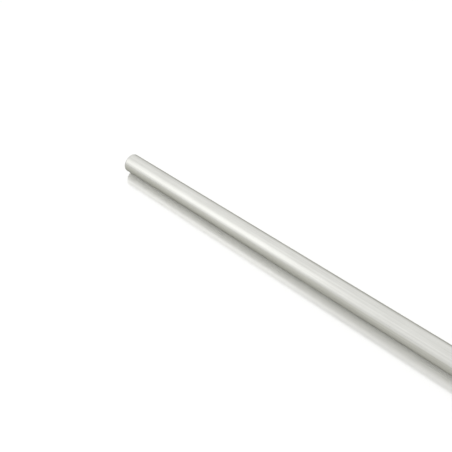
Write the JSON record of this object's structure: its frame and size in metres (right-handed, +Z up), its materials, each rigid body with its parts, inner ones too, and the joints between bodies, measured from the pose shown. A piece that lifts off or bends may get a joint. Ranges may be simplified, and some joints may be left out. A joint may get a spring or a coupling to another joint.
{
  "type": "round aluminium tube",
  "caption": "Straight round aluminium tube with a plain through bore, sawn square and deburred at both ends, stock for frames, rails and legs.",
  "frame": {"origin": "half way along the tube, on the line that it rests on", "axes": "+X along the tube's axis, +Z up, away from the floor"},
  "size_m": [1, 0.025, 0.025],
  "materials": {
    "mill_aluminium": "satin mill finish with faint lengthwise drawing lines"
  },
  "bodies": {
    "root": {"tube": "mill_aluminium"}
  },
  "joints": []
}
